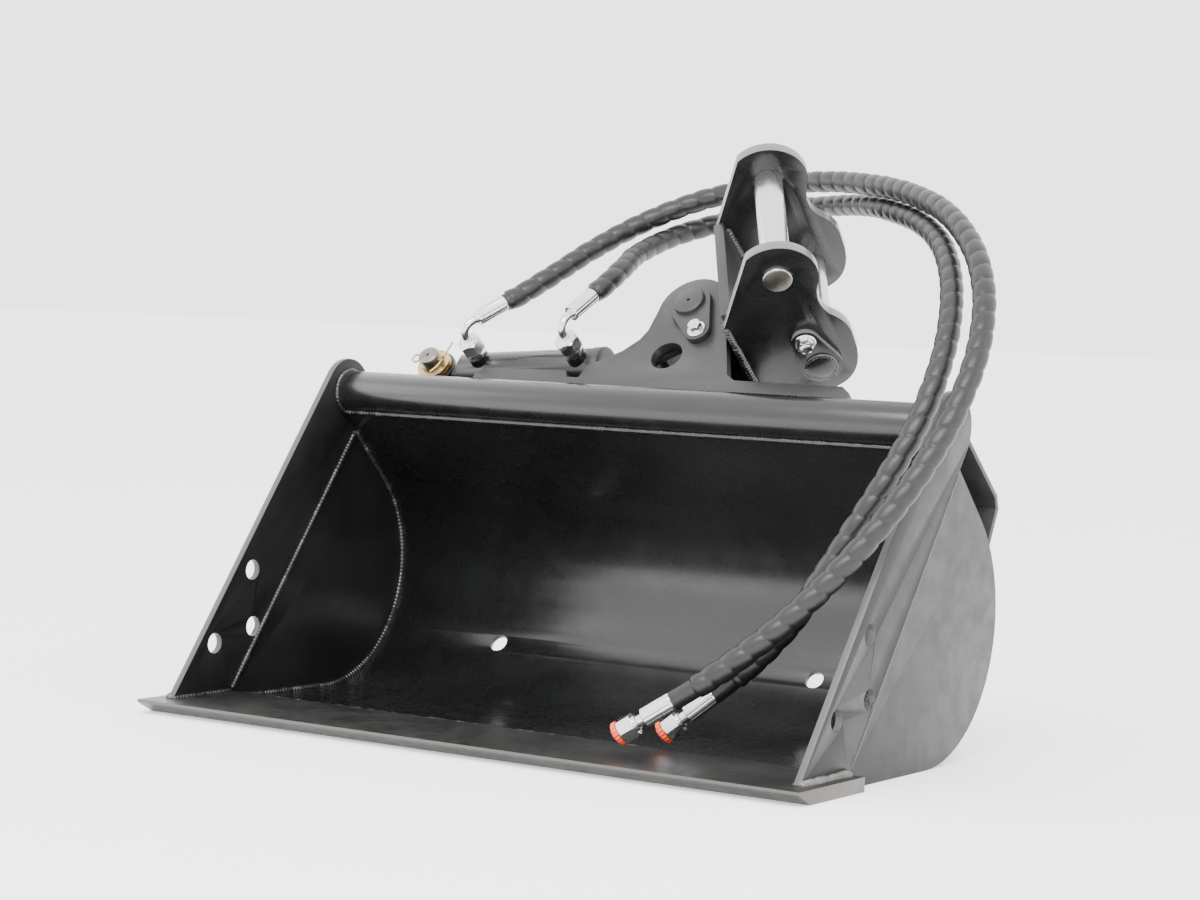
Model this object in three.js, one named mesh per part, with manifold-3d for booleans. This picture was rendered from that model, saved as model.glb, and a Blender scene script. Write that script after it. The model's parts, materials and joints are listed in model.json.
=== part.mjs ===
// Hydraulic tilting grading bucket for a mini excavator, with its tilt cylinder, headstock and hoses.
// Millimetres, +X to the right, +Y to the back, +Z up. Each mesh is one physical piece.
import * as THREE from 'three';
import { mergeVertices } from 'three/addons/utils/BufferGeometryUtils.js';
import Module from 'manifold-3d';

const wasm = await Module();
wasm.setup();

// ---- driving dimensions ----
const GAP = 0.3;                       // air between touching pieces
const WIDTH = 800;                     // over the two side cutters
const CUTTER_THICK = 8;
const SIDE_THICK = 6;
const SHELL_THICK = 6;
const EDGE = { width: 833, length: 129.5, thick: 15, bevel: 23, lip: 3 };
const TUBE = { y: 322.3, z: 335.8, r: 24, bore: 19.5 };
const ARC = { y: 292, z: 133, r: 148 };          // heel of the shell, outer face
const CUTTER_SLOPE = THREE.MathUtils.degToRad(54);
const CUTTER_HALF = 38.2;              // half the side cutter's width
const SIDE_HOLES = [[158.8, 134.8], [162.5, 70.5], [97.9, 55.9]];
const SIDE_HOLE_R = 11.2;
const DRAIN = { x: [-224, 200], angle: THREE.MathUtils.degToRad(-36.5), r: 10.5 };  // through the shell's heel
const INSIDE = WIDTH / 2 - CUTTER_THICK - GAP;   // half the clear width between the sides

// The tilt frame: x across, y back and down along the tilt axis, z square to the deck.
const TILT_ORIGIN = new THREE.Vector3(0, 437, 457.7);
const TILT_SLOPE = THREE.MathUtils.degToRad(40.8);
const DECK = -143.3;                   // top of the deck in the tilt frame
const DECK_START = 10;
const DECK_END = 134;
const BRACKET_THICK = 12;
const FRONT_BRACKET_BACK = 24;         // back face of each bracket plate, along the tilt axis
const REAR_BRACKET_BACK = 112;
const LOBE_R = 42;
const TILT_PIN_R = 18.5;

// Headstock, in its own frame: x along the ear pins, y along the tilt axis, z away from it.
const LEAN = THREE.MathUtils.degToRad(63.4);
const EAR_OUT = 87.8;                  // outer face of each ear
const EAR_THICK = 12;
const PIN_Y = [-63.6, 73.5];           // the two ear pins
const PIN_Z = 126.1;
const PIN_R = 16.5;
const BASE_BOTTOM = 46;
const BASE_THICK = 12;
const HUB_R = 28;

// Tilt cylinder, from the stud pin to the arm pin under the hub.
const STUD = { x: -328, z: -90, r: 12.8 };
const CYL_Y = 51;                      // its centre plane along the tilt axis
const LUG_R = 27;
const LUG_THICK = 12;
const ARM_R = 75;
const ARM_ANGLE = THREE.MathUtils.degToRad(35);  // left of straight down, at rest
const ARM_PIN_R = 11;
const EYE_HALF = 15;
const BARREL = { r: 26, bore: 20, start: 36, cap: 46, end: 212, eye: 24, neck: 14 };
const GLAND_END = 226;
const ROD_R = 10;
const ROD_EYE_R = 18;
const PORTS = [{ s: 66, z: -82 }, { s: 199, z: -72 }];   // along the cylinder, and square to the deck
const PORT = { bossR: 12, face: 17, hexR: 13, hex: 7.4 };
const PISTON = { from: 48, to: 62 };

// Hoses and their fittings.
const HOSE_R = 12.5;
const FITTING_CORNER_Y = -30;          // where each elbow turns, along the tilt axis
const ELBOW_LEG = 20.5;
const ELBOW_R = 5;
const NUT_R = 14.5;
const FERRULE_R = 10;
const FERRULE_END = 63;                // along the leaving direction, from the elbow's corner
const END_NUT_R = 13.5;
const END_FERRULE = 42;
const END_NUT = [42.4, 62];            // along the end fitting
const CAP = [62.4, 70];

const BLACK = [0x161718, 0.42, 0.3];
const GRAPHITE = [0x2b2d2f, 0.4, 0.4];
const STEEL = [0xb9b9b6, 0.28, 0.95];
const ZINC = [0xc4c6c8, 0.3, 0.9];
const YELLOW_ZINC = [0xc9a251, 0.35, 0.85];
const CAP_RED = [0xe0401c, 0.5, 0];
const GUARD = [0x131415, 0.6, 0];

// ---- helpers ----
function mesh(name, geometry, [color, roughness, metalness]) {
  const m = new THREE.Mesh(geometry, new THREE.MeshStandardMaterial({ color, roughness, metalness }));
  m.name = name;
  return m;
}

function group(...children) {
  const g = new THREE.Group();
  g.add(...children);
  return g;
}

function toSolid(geometry) {
  let g = geometry.clone();
  g.deleteAttribute('normal');
  g.deleteAttribute('uv');
  g = mergeVertices(g, 1e-4);
  const vertProperties = new Float32Array(g.attributes.position.array);
  const triVerts = new Uint32Array(g.index.array);
  return new wasm.Manifold(new wasm.Mesh({ numProp: 3, vertProperties, triVerts }));
}

function toGeometry(solid) {
  const m = solid.getMesh();
  const g = new THREE.BufferGeometry();
  g.setAttribute('position', new THREE.BufferAttribute(new Float32Array(m.vertProperties), 3));
  g.setIndex(new THREE.BufferAttribute(new Uint32Array(m.triVerts), 1));
  g.computeVertexNormals();
  return g;
}

function outline(points) {
  return new THREE.Shape(points.map(([u, v]) => new THREE.Vector2(u, v)));
}

function circle(u, v, r) {
  return new THREE.Path().absarc(u, v, r, 0, 2 * Math.PI, true);
}

function arcPoints(u, v, r, from, to, steps) {
  const points = [];
  for (let i = 0; i <= steps; i++) {
    const a = THREE.MathUtils.degToRad(from + (to - from) * i / steps);
    points.push([u + r * Math.cos(a), v + r * Math.sin(a)]);
  }
  return points;
}

// An outline in (y, z), extruded from x = from to x = to.
function acrossX(shape, from, to) {
  const g = new THREE.ExtrudeGeometry(shape, { depth: to - from, bevelEnabled: false, curveSegments: 20 });
  const axes = [new THREE.Vector3(0, 1, 0), new THREE.Vector3(0, 0, 1), new THREE.Vector3(1, 0, 0)];
  g.applyMatrix4(new THREE.Matrix4().makeBasis(...axes));
  return g.translate(from, 0, 0);
}

// An outline in (x, z), extruded forward from the plane y = back.
function plate(shape, back, thick) {
  const g = new THREE.ExtrudeGeometry(shape, { depth: thick, bevelEnabled: false, curveSegments: 20 });
  return g.rotateX(Math.PI / 2).translate(0, back, 0);
}

// A bar or ring with its axis along x, y or z; bore 0 is solid.
function round(axis, r, from, to, bore = 0, sides = 32) {
  const profile = bore
    ? [[bore, from], [r, from], [r, to], [bore, to], [bore, from]]
    : [[0, from], [r, from], [r, to], [0, to]];
  const g = new THREE.LatheGeometry(profile.map(([a, b]) => new THREE.Vector2(a, b)), sides);
  if (axis === 'x') g.rotateZ(-Math.PI / 2);
  if (axis === 'z') g.rotateX(Math.PI / 2);
  return g;
}

// The outline round two circles, the first at a and the second at b.
function link(a, ra, b, rb) {
  const along = Math.atan2(b[1] - a[1], b[0] - a[0]);
  const open = Math.acos((ra - rb) / Math.hypot(b[0] - a[0], b[1] - a[1]));
  const shape = new THREE.Shape();
  shape.absarc(a[0], a[1], ra, along + open, along + 2 * Math.PI - open, false);
  shape.absarc(b[0], b[1], rb, along - open, along + open, false);
  return shape;
}

// ---- bucket ----
// A point beside the cutter's centre line: off towards the front, at height z.
function cutterPoint(off, z) {
  const y0 = TUBE.y - off * Math.sin(CUTTER_SLOPE);
  const z0 = TUBE.z + off * Math.cos(CUTTER_SLOPE);
  return [y0 + (z - z0) / Math.tan(CUTTER_SLOPE), z];
}

function sideCutter(name, from) {
  const slope = THREE.MathUtils.radToDeg(CUTTER_SLOPE);
  const shape = outline([
    cutterPoint(CUTTER_HALF, GAP), cutterPoint(-CUTTER_HALF, GAP),
    ...arcPoints(TUBE.y, TUBE.z, CUTTER_HALF, slope - 90, slope + 90, 16),
  ]);
  shape.holes = SIDE_HOLES.map(([y, z]) => circle(y, z, SIDE_HOLE_R));
  return mesh(name, acrossX(shape, from, from + CUTTER_THICK), GRAPHITE);
}

const BACK_START = EDGE.length + GAP;
const TANGENT = (offset) => ARC.y + ARC.z + (ARC.r - offset) * Math.SQRT2;  // y + z on the top run

function sidePlate(name, from) {
  const off = -CUTTER_HALF - GAP;
  const foot = cutterPoint(off, GAP);
  const lean = Math.tan(CUTTER_SLOPE);
  const top = (TANGENT(0) + lean * foot[0] - foot[1]) / (1 + lean);
  const shape = outline([
    foot, [BACK_START, GAP], [BACK_START, ARC.z - ARC.r],
    ...arcPoints(ARC.y, ARC.z, ARC.r, -90, 45, 24),
    [top, TANGENT(0) - top],
  ]);
  return mesh(name, acrossX(shape, from, from + SIDE_THICK), GRAPHITE);
}

function shell() {
  const outerEnd = TUBE.y + 2.7;         // the top run's two corners, just under the top tube
  const innerEnd = TUBE.y - 8.1;
  const shape = outline([
    [BACK_START, ARC.z - ARC.r], ...arcPoints(ARC.y, ARC.z, ARC.r, -90, 45, 24),
    [outerEnd, TANGENT(0) - outerEnd], [innerEnd, TANGENT(SHELL_THICK) - innerEnd],
    ...arcPoints(ARC.y, ARC.z, ARC.r - SHELL_THICK, 45, -90, 24),
    [BACK_START, ARC.z - ARC.r + SHELL_THICK],
  ]);
  let solid = toSolid(acrossX(shape, -INSIDE, INSIDE));
  const { x, angle, r } = DRAIN;
  for (const at of x) {
    const drill = round('y', r, ARC.r - 2 * SHELL_THICK, ARC.r + SHELL_THICK, 0, 24);
    solid = solid.subtract(toSolid(drill.rotateX(angle).translate(at, ARC.y, ARC.z)));
  }
  return mesh('shell', toGeometry(solid), BLACK);
}

function cuttingEdge() {
  const { width, length, thick, bevel, lip } = EDGE;
  const shape = outline([[0, 0], [0, -lip], [bevel, -thick], [length, -thick], [length, 0]]);
  return mesh('cutting_edge', acrossX(shape, -width / 2, width / 2), GRAPHITE);
}

function topTube() {
  const g = round('x', TUBE.r, -INSIDE, INSIDE, TUBE.bore, 36).translate(0, TUBE.y, TUBE.z);
  return mesh('top_tube', g, BLACK);
}

// The tilt frame's (y, z) in the bucket's own frame.
function fromTilt(y, z) {
  const c = Math.cos(TILT_SLOPE);
  const s = Math.sin(TILT_SLOPE);
  return [TILT_ORIGIN.y + y * c + z * s, TILT_ORIGIN.z - y * s + z * c];
}

// The lip that folds down from the deck's back edge to the shell, as (y, z) corners.
const LIP_INNER = [[442.3, 248.5], [422.2, 205.1]];
const LIP_OUTER = [[427, 200.5], [449, 247.5]];

function backStiffener() {
  const thick = 6;
  const shape = outline([
    fromTilt(DECK_START, DECK), fromTilt(DECK_START, DECK - thick), fromTilt(DECK_END - 3, DECK - thick),
    ...LIP_INNER, ...LIP_OUTER, fromTilt(DECK_END, DECK),
  ]);
  return mesh('back_stiffener', acrossX(shape, -INSIDE, INSIDE), GRAPHITE);
}

// ---- tilt bracket ----
// Both plates: long low feet on the deck and a lobe round the tilt pin. saddle is the slope left of the lobe.
function bracketOutline(saddle) {
  const floor = DECK + GAP;
  return outline([
    [247, floor], [247, -113], [236, -105], [100, -104.5], [88, -97], [56.5, -27], [41, 9],
    ...arcPoints(0, 0, LOBE_R, 12, 188, 24),
    ...saddle, [-236, -105], [-246, -114], [-246, floor],
  ]);
}

// The front plate has a drain slot at the foot of its slope and a round window under the pin.
const FRONT_SADDLE = [[-42, -38], [-47, -52], [-62, -70], [-89, -88], [-98, -93], [-103, -112], [-119, -112],
  [-124, -103]];
const REAR_SADDLE = [[-42, -38], [-62, -70], [-98, -93], [-124, -103]];
const WINDOW = { x: -1, z: -74, r: 19 };

function brackets() {
  const front = bracketOutline(FRONT_SADDLE);
  const rear = bracketOutline(REAR_SADDLE);
  front.holes = [circle(0, 0, TILT_PIN_R + GAP), circle(WINDOW.x, WINDOW.z, WINDOW.r)];
  rear.holes = [circle(0, 0, TILT_PIN_R + GAP)];
  return [
    mesh('bracket_front', plate(front, FRONT_BRACKET_BACK, BRACKET_THICK), GRAPHITE),
    mesh('bracket_rear', plate(rear, REAR_BRACKET_BACK, BRACKET_THICK), GRAPHITE),
  ];
}

function cylinderLug() {
  const footHalf = 38;
  const back = CYL_Y + EYE_HALF + GAP + LUG_THICK;
  const shape = new THREE.Shape();
  shape.absarc(STUD.x, STUD.z, LUG_R, 0, Math.PI, false);
  shape.lineTo(STUD.x - footHalf, DECK + GAP);
  shape.lineTo(STUD.x + footHalf, DECK + GAP);
  shape.holes = [circle(STUD.x, STUD.z, STUD.r + GAP)];
  return mesh('cylinder_lug', plate(shape, back, LUG_THICK), GRAPHITE);
}

const FLAG_BOLT = [27, -40];            // beside the tilt pin, in (x, z)
const TILT_FLAG_R = 25;
const EAR_FLAG_R = 24;
const FLAG_END_R = 15;

// A flange bolt's head, as lathed flange and hexagon along y, with its seat at y = 0 and the head towards -y.
function flangeBolt(flangeR, headR, height) {
  const flange = toSolid(round('y', flangeR, -1, 0, 0, 24));
  const head = new THREE.CylinderGeometry(headR, headR, height, 6).translate(0, -0.1 - height / 2, 0);
  return toGeometry(flange.add(toSolid(head)));
}

function tiltPinParts() {
  const face = FRONT_BRACKET_BACK - BRACKET_THICK - GAP;
  const flagThick = 7.5;
  const shape = link([0, 0], TILT_FLAG_R, FLAG_BOLT, FLAG_END_R);
  shape.holes = [circle(0, 0, TILT_PIN_R + GAP)];
  const bolt = flangeBolt(11, 8, 9).translate(FLAG_BOLT[0], face - flagThick - GAP, FLAG_BOLT[1]);
  return [
    mesh('tilt_pin', round('y', TILT_PIN_R, 0, REAR_BRACKET_BACK + 5), GRAPHITE),
    mesh('tilt_pin_flag', plate(shape, face, flagThick), GRAPHITE),
    mesh('tilt_flag_bolt', bolt, ZINC),
  ];
}

function studParts() {
  const studFront = 12;
  const washer = { r: 21, thick: 3, pitch: 4.5, clear: 1 };
  const split = { y: 20, hole: 3, leg: 1.9, wire: 1.4, eye: 5.5, eyeX: -20.5, from: -16, to: 20 };
  const place = (g) => g.translate(STUD.x, 0, STUD.z);
  const washers = [0, 1].map((i) => {
    const to = CYL_Y - EYE_HALF - washer.clear - washer.pitch * i;
    const ring = round('y', washer.r, to - washer.thick, to, STUD.r + GAP);
    return mesh(`stud_washer_${i + 1}`, place(ring), YELLOW_ZINC);
  });
  const stud = toSolid(round('y', STUD.r, studFront, CYL_Y + EYE_HALF + LUG_THICK + 2 + GAP));
  const hole = toSolid(round('x', split.hole, -20, 20, 0, 12).translate(0, split.y, 0));
  const eye = new THREE.TorusGeometry(split.eye, split.wire, 8, 20).rotateX(Math.PI / 2);
  const loop = eye.translate(split.eyeX, split.y, 0);
  const legs = toSolid(round('x', split.leg, split.from, split.to, 0, 10).translate(0, split.y, 0));
  return [
    mesh('stud_pin', place(toGeometry(stud.subtract(hole))), STEEL),
    ...washers,
    mesh('split_pin', place(toGeometry(legs.add(toSolid(loop)))), YELLOW_ZINC),
  ];
}

// ---- cylinder: x runs from the stud to the arm pin, y and z as in the tilt frame ----
const ARM = new THREE.Vector2(-ARM_R * Math.sin(ARM_ANGLE), -ARM_R * Math.cos(ARM_ANGLE));
const REACH = Math.hypot(ARM.x - STUD.x, ARM.y - STUD.z);
const CYL_SLOPE = Math.atan2(ARM.y - STUD.z, ARM.x - STUD.x);

// Where a port stands: its distance along the cylinder and its height beside the axis.
function portPlace({ s, z }) {
  const x = STUD.x + s * Math.cos(CYL_SLOPE);
  const side = (z - STUD.z - s * Math.sin(CYL_SLOPE)) / Math.cos(CYL_SLOPE);
  return { s: s + side * Math.sin(CYL_SLOPE), side, x };
}

function barrelParts() {
  const profile = [[0, BARREL.start], [BARREL.r, BARREL.start], [BARREL.r, BARREL.end],
    [BARREL.bore, BARREL.end], [BARREL.bore, BARREL.cap], [0, BARREL.cap]];
  const tube = new THREE.LatheGeometry(profile.map(([a, b]) => new THREE.Vector2(a, b)), 40);
  let barrel = toSolid(tube.rotateZ(-Math.PI / 2)).add(toSolid(round('x', BARREL.neck, 18, BARREL.start + 2)));
  const bore = toSolid(round('x', BARREL.bore, BARREL.cap, BARREL.end + 5, 0, 40));
  for (const p of PORTS) {
    const { s, side } = portPlace(p);
    const boss = toSolid(round('y', PORT.bossR, PORT.face - CYL_Y, -14, 0, 24).translate(s, 0, side));
    barrel = barrel.add(boss.subtract(bore));
  }
  const eye = toSolid(round('y', BARREL.eye, -EYE_HALF, EYE_HALF, 0, 36));
  const eyeHole = toSolid(round('y', STUD.r + GAP, -20, 20));
  barrel = barrel.add(eye.subtract(eyeHole));
  const adapters = PORTS.map((p, i) => {
    const { s, side } = portPlace(p);
    const hex = new THREE.CylinderGeometry(PORT.hexR, PORT.hexR, PORT.hex, 6);
    hex.translate(s, PORT.face - GAP - PORT.hex / 2 - CYL_Y, side);
    return mesh(`port_adapter_${i + 1}`, hex, ZINC);
  });
  return [
    mesh('cylinder_barrel', toGeometry(barrel), BLACK),
    mesh('cylinder_gland', round('x', BARREL.r + 1, BARREL.end + GAP, GLAND_END, ROD_R + GAP), GRAPHITE),
    ...adapters,
  ];
}

function rodParts() {
  const rodEnd = REACH - ROD_EYE_R;
  return [
    mesh('cylinder_piston', round('x', BARREL.bore - GAP, PISTON.from, PISTON.to, 0, 36), STEEL),
    mesh('cylinder_rod', round('x', ROD_R, PISTON.to + GAP, rodEnd - GAP, 0, 24), STEEL),
    mesh('rod_eye', rodEye(), GRAPHITE),
  ];
}

function rodEye() {
  const ring = toSolid(round('y', ROD_EYE_R, -EYE_HALF, EYE_HALF, 0, 32));
  const hole = toSolid(round('y', ARM_PIN_R + GAP, -20, 20));
  return toGeometry(ring.subtract(hole)).translate(REACH, 0, 0);
}

// The arm pin's middle rides in the rod eye, because the linkage is open there.
function armPinCore() {
  return mesh('arm_pin_core', round('y', ARM_PIN_R, -EYE_HALF, EYE_HALF).translate(REACH, 0, 0), STEEL);
}

function cylinder() {
  const g = group(...barrelParts(), ...rodParts(), armPinCore());
  g.position.set(STUD.x, CYL_Y, STUD.z);
  g.rotation.y = -CYL_SLOPE;
  return g;
}

// ---- headstock ----
// Outline of an ear in (y, z), drawn from the pins: two rounded lobes round them and a narrower foot.
function earOutline() {
  const [a, b] = PIN_Y;
  const s = new THREE.Shape();
  s.moveTo(a + 45, BASE_BOTTOM);
  s.lineTo(b + 30, BASE_BOTTOM);
  s.quadraticCurveTo(b + 42, BASE_BOTTOM, b + 43, BASE_BOTTOM + 22);
  s.lineTo(b + 43, PIN_Z - 4);
  s.quadraticCurveTo(b + 42, PIN_Z + 34, b - 4, PIN_Z + 44);
  s.lineTo(b - 30, PIN_Z + 47);
  s.quadraticCurveTo(b - 48, PIN_Z + 48, b - 66, PIN_Z + 34);
  s.quadraticCurveTo(b - 88, PIN_Z + 24, a + 26, PIN_Z + 37);
  s.absarc(a, PIN_Z, 45, THREE.MathUtils.degToRad(55), THREE.MathUtils.degToRad(208), false);
  s.lineTo(a + 45, BASE_BOTTOM);
  s.holes = [...PIN_Y.map((y) => circle(y, PIN_Z, PIN_R + GAP))];
  return s;
}

function ears() {
  return [['ear_near', EAR_OUT - EAR_THICK], ['ear_far', -EAR_OUT]]
    .map(([name, from]) => mesh(name, acrossX(earOutline(), from, from + EAR_THICK), BLACK));
}

function basePlate() {
  const half = EAR_OUT - EAR_THICK - GAP;
  const [front, back, top] = [-28, 105, BASE_BOTTOM + BASE_THICK];
  const rect = [[front, BASE_BOTTOM], [back, BASE_BOTTOM], [back, top], [front, top]];
  return mesh('headstock_base', acrossX(outline(rect), -half, half), GRAPHITE);
}

function hub() {
  const play = 0.8;
  const neckHalf = 24;
  const from = FRONT_BRACKET_BACK + play;
  const to = REAR_BRACKET_BACK - BRACKET_THICK - play;
  const tube = toSolid(round('y', HUB_R, from, to, 0, 40));
  const top = BASE_BOTTOM - GAP;
  const neckShape = outline([[-neckHalf, 8], [neckHalf, 8], [neckHalf, top], [-neckHalf, top]]);
  const neck = toSolid(plate(neckShape, to, to - from));
  const bore = toSolid(round('y', TILT_PIN_R + GAP, from - 5, to + 5));
  return mesh('tilt_hub', toGeometry(tube.add(neck).subtract(bore)), GRAPHITE);
}

// An arm plate hugs the underside of the hub, below its neck, and carries the arm pin at its tip.
function armShape(tip) {
  const along = Math.atan2(tip[1], tip[0]);
  const wrap = 1.25;                   // half the angle that the plate wraps round the hub
  const shoulder = HUB_R + 10;
  const tipR = 17;
  const at = (u, v, r, a) => [u + r * Math.cos(a), v + r * Math.sin(a)];
  const shape = new THREE.Shape();
  shape.absarc(0, 0, HUB_R + GAP, along + wrap, along - wrap, true);
  shape.lineTo(...at(0, 0, shoulder, along - wrap));
  shape.lineTo(...at(tip[0], tip[1], tipR, along - wrap));
  shape.absarc(tip[0], tip[1], tipR, along - wrap, along + wrap, false);
  shape.lineTo(...at(0, 0, shoulder, along + wrap));
  shape.holes = [circle(tip[0], tip[1], ARM_PIN_R + GAP)];
  return shape;
}

// Two arm plates, one on each side of the rod eye, each with its end of the arm pin.
function armPlates() {
  const angle = LEAN - ARM_ANGLE;
  const tip = [ARM_R * Math.sin(angle), -ARM_R * Math.cos(angle)];
  const thick = 8;
  const clear = EYE_HALF + 0.5;
  return [[CYL_Y - clear, 2, 0], [CYL_Y + clear + thick, 0, 2]].flatMap(([back, proudFront, proudBack], i) => {
    const stub = round('y', ARM_PIN_R, back - thick - proudFront, back + proudBack);
    return [
      mesh(`arm_plate_${i + 1}`, plate(armShape(tip), back, thick), GRAPHITE),
      mesh(`arm_pin_stub_${i + 1}`, stub.translate(tip[0], 0, tip[1]), YELLOW_ZINC),
    ];
  });
}

// The rear pin is held by a flag that is bolted to the near ear.
function earPins() {
  const [front, rear] = PIN_Y;
  const proud = 3;                     // how far a pin stands out of each ear
  const flagFace = EAR_OUT + GAP;
  const flagThick = 6;
  const boltAt = [rear - 42, PIN_Z - 4];
  const half = EAR_OUT + proud;
  const flag = link([rear, PIN_Z], EAR_FLAG_R, boltAt, FLAG_END_R);
  flag.holes = [circle(rear, PIN_Z, PIN_R + GAP)];
  const bolt = flangeBolt(12, 9, 9.8).rotateZ(Math.PI / 2);
  return [
    mesh('ear_pin_front', round('x', PIN_R, -half, half).translate(0, front, PIN_Z), STEEL),
    mesh('ear_pin_rear', round('x', PIN_R, -half, flagFace + flagThick + proud).translate(0, rear, PIN_Z), STEEL),
    mesh('ear_pin_flag', acrossX(flag, flagFace, flagFace + flagThick), BLACK),
    mesh('ear_flag_bolt', bolt.translate(flagFace + flagThick + GAP, ...boltAt), ZINC),
  ];
}

function headstock() {
  const g = group(...ears(), basePlate(), hub(), ...armPlates(), ...earPins());
  g.rotation.y = LEAN;
  return g;
}

// ---- fittings and hoses ----
// Which way each hose leaves its elbow, in the bucket's frame.
const LEAVES = [new THREE.Vector3(0.45, 0.75, 0.48), new THREE.Vector3(0.2, 0.8, 0.56)];

// Hose centrelines in the bucket's frame, from the elbow's ferrule to the end ferrule.
const ROUTES = [
  [[-224, 424, 455], [-205, 460, 479], [-180, 513, 514], [-147, 562, 546], [-98, 599, 573], [-35, 615, 590],
    [32, 610, 598], [96, 590, 599], [157, 559, 595], [213, 523, 588], [266, 483, 577], [317, 441, 561],
    [363, 398, 537], [403, 355, 504], [432, 312, 461], [445, 272, 408], [442, 234, 352], [426, 200, 296],
    [400, 169, 242], [367, 140, 191], [328, 113, 143], [282, 89, 99], [246, 75, 71]],
  [[-114, 431, 467], [-112, 449, 478], [-115, 481, 494], [-124, 512, 505], [-125, 552, 519],
    [-116, 595, 534], [-93, 630, 547], [-56, 654, 559], [-15, 662, 567], [28, 653, 571], [75, 632, 573],
    [120, 603, 573], [165, 568, 570], [214, 528, 562], [262, 486, 551], [305, 444, 535], [342, 400, 512], [372, 356, 479],
    [393, 313, 438], [403, 273, 392], [400, 240, 342], [384, 213, 289], [359, 194, 236], [331, 181, 184],
    [300, 173, 134], [268, 163, 96], [243, 156, 72]],
];
const ENDS = [[[230, 70, 60], [167, 50, 16]], [[229, 150, 59], [181, 131, 16]]];

function tube(curve, steps, r, sides) {
  const ring = new THREE.Shape();
  for (let i = 0; i < sides; i++) {
    const a = 2 * Math.PI * i / sides;
    ring[i ? 'lineTo' : 'moveTo'](r * Math.cos(a), r * Math.sin(a));
  }
  return new THREE.ExtrudeGeometry(ring, { steps, bevelEnabled: false, extrudePath: curve });
}

// A round or six-sided piece between two points.
function between(a, b, r, sides) {
  const g = new THREE.CylinderGeometry(r, r, a.distanceTo(b), sides);
  const turn = new THREE.Quaternion().setFromUnitVectors(
    new THREE.Vector3(0, 1, 0), b.clone().sub(a).normalize());
  return g.applyQuaternion(turn).translate(...a.clone().lerp(b, 0.5).toArray());
}

function fittings(i) {
  const { x } = portPlace(PORTS[i]);
  const z = PORTS[i].z;
  const world = (y) => new THREE.Vector3(x, ...fromTilt(y, z));
  const corner = world(FITTING_CORNER_Y);
  const legStart = world(FITTING_CORNER_Y + ELBOW_LEG);
  const leave = LEAVES[i].clone().normalize();
  const at = (d) => corner.clone().addScaledVector(leave, d);
  const bend = new THREE.QuadraticBezierCurve3(legStart, corner, at(ELBOW_LEG));
  const n = i + 1;
  const nutBack = world(PORT.face - PORT.hex - 0.7);
  const nutFront = world(FITTING_CORNER_Y + ELBOW_LEG + GAP);
  return [
    mesh(`port_nut_${n}`, between(nutFront, nutBack, NUT_R, 6), ZINC),
    mesh(`elbow_${n}`, tube(bend, 10, ELBOW_R, 12), ZINC),
    mesh(`hose_ferrule_${n}`, between(at(ELBOW_LEG + 0.5), at(FERRULE_END), FERRULE_R, 24), ZINC),
  ];
}

function hoseParts(i) {
  const n = i + 1;
  const { x } = portPlace(PORTS[i]);
  const corner = new THREE.Vector3(x, ...fromTilt(FITTING_CORNER_Y, PORTS[i].z));
  const leave = LEAVES[i].clone().normalize();
  const start = corner.clone().addScaledVector(leave, FERRULE_END + 0.5);
  const [from, to] = ENDS[i].map((p) => new THREE.Vector3(...p));
  const way = to.clone().sub(from).normalize();
  const at = (d) => from.clone().addScaledVector(way, d);
  const points = [start, ...ROUTES[i].map((p) => new THREE.Vector3(...p)), at(-0.5)];
  const route = new THREE.CatmullRomCurve3(points, false, 'centripetal');
  return [
    mesh(`hose_${n}`, tube(route, 60, HOSE_R, 10), GUARD),
    mesh(`hose_end_ferrule_${n}`, between(at(0), at(END_FERRULE), FERRULE_R, 24), ZINC),
    mesh(`hose_end_nut_${n}`, between(...END_NUT.map(at), END_NUT_R, 6), ZINC),
    mesh(`hose_cap_${n}`, between(...CAP.map(at), HOSE_R, 24), CAP_RED),
  ];
}

// ---- the whole object ----
const tiltFrame = group(...brackets(), cylinderLug(), ...tiltPinParts(), ...studParts(),
  cylinder(), headstock());
tiltFrame.position.copy(TILT_ORIGIN);
tiltFrame.rotation.x = -TILT_SLOPE;

const object = group(
  cuttingEdge(), shell(), topTube(), backStiffener(),
  sideCutter('side_cutter_left', -WIDTH / 2), sideCutter('side_cutter_right', WIDTH / 2 - CUTTER_THICK),
  sidePlate('side_plate_left', -WIDTH / 2 + CUTTER_THICK - SIDE_THICK),
  sidePlate('side_plate_right', WIDTH / 2 - CUTTER_THICK),
  tiltFrame, ...fittings(0), ...fittings(1),
);

// The origin is the middle of the object's base, measured without the free hoses.
object.updateMatrixWorld(true);
const box = new THREE.Box3().setFromObject(object, true);
const middle = box.getCenter(new THREE.Vector3());
object.add(...hoseParts(0), ...hoseParts(1));
object.position.set(-middle.x, -middle.y, -box.min.z);

export default object;
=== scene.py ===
"""A hydraulic tilting grading bucket: looks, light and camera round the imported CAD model. Metres, +Z up."""
import json
import math
import bpy
from mathutils import Matrix, Vector, noise


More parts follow.
